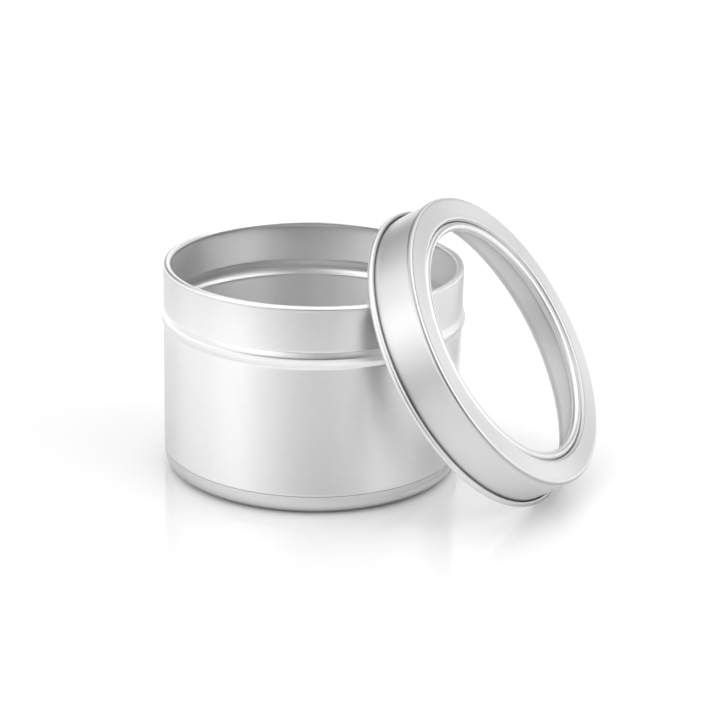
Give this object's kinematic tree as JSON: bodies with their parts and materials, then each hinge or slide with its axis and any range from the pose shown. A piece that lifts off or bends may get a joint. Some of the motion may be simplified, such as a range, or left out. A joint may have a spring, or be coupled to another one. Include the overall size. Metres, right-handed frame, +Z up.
{
  "type": "window lid tin",
  "caption": "Round slip-lid metal tin with a clear window held in its lid; the lid leans against the open tin and lifts off.",
  "frame": {"origin": "centre of the tin's round foot, on the floor", "axes": "+Z up along the tin's axis, -Y towards the camera, +X towards the side where the lid leans"},
  "size_m": [0.1121, 0.0929, 0.072],
  "materials": {
    "tin_metal": "satin",
    "base_metal": "satin",
    "lid_metal": "satin",
    "ring_metal": "satin",
    "clear_window": "clear gloss"
  },
  "bodies": {
    "tin": {"tin_body": "tin_metal", "base_end": "base_metal"},
    "lid": {"lid_cover": "lid_metal", "window_ring": "ring_metal", "window_disc": "clear_window"}
  },
  "joints": [
    {"name": "lid_lift_off", "type": "slide", "parent": "tin", "child": "lid", "axis": [0.7552, -0.349, 0.5548], "range_m": [0, 0.04]}
  ]
}
